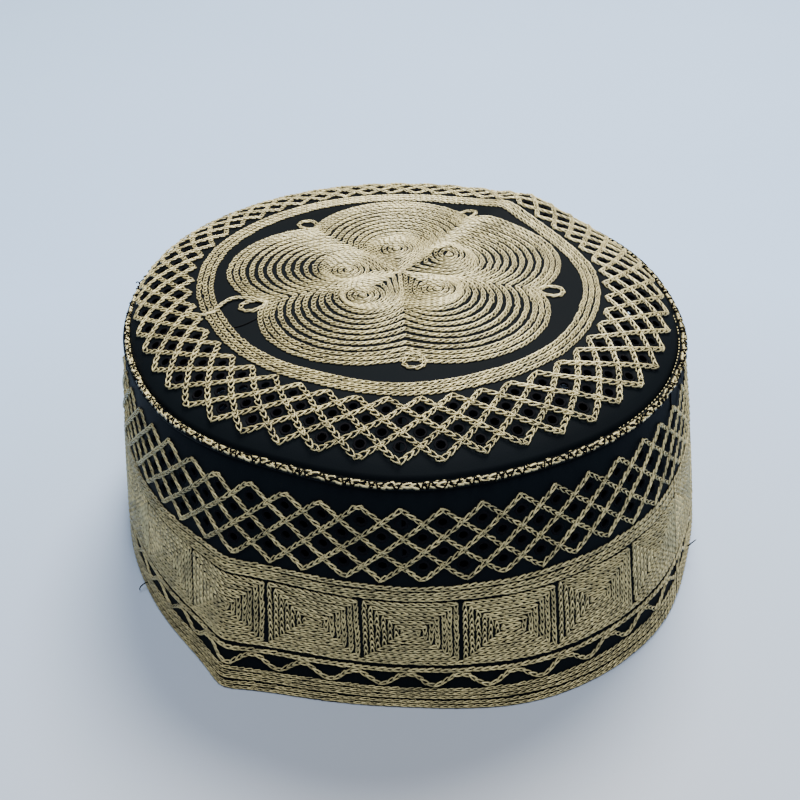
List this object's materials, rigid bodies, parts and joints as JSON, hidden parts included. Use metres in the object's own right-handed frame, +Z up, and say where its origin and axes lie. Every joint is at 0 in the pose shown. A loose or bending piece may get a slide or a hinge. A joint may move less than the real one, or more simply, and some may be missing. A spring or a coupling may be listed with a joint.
{
  "type": "prayer cap",
  "caption": "Round, soft prayer cap with a low flat crown and a tall side band, chain-stitch embroidery and pierced eyelets.",
  "frame": {"origin": "on the surface that the cap rests on, under the middle of the rim's outline", "axes": "+Z up through the crown, -Y towards the front in the picture, +X to the right in the picture"},
  "size_m": [0.1915, 0.1932, 0.0856],
  "materials": {
    "cloth": "black satin cloth with a faint blue sheen",
    "thread": "cream chain-stitch embroidery thread",
    "piping": "cream cord oversewn with black thread"
  },
  "bodies": {
    "root": {"crown_top": "cloth", "side_band": "cloth", "edge_piping": "piping", "rosette": "thread", "rosette_ring": "thread", "upper_rows": "thread", "square_01": "thread", "square_02": "thread", "square_03": "thread", "square_04": "thread", "square_05": "thread", "square_06": "thread", "square_07": "thread", "square_08": "thread", "square_09": "thread", "square_10": "thread", "square_11": "thread", "square_12": "thread", "square_13": "thread", "square_14": "thread", "square_15": "thread", "square_16": "thread", "square_17": "thread", "square_18": "thread", "square_19": "thread", "square_20": "thread", "square_21": "thread", "square_22": "thread", "lower_rows": "thread", "rim_rows": "thread"}
  },
  "joints": []
}
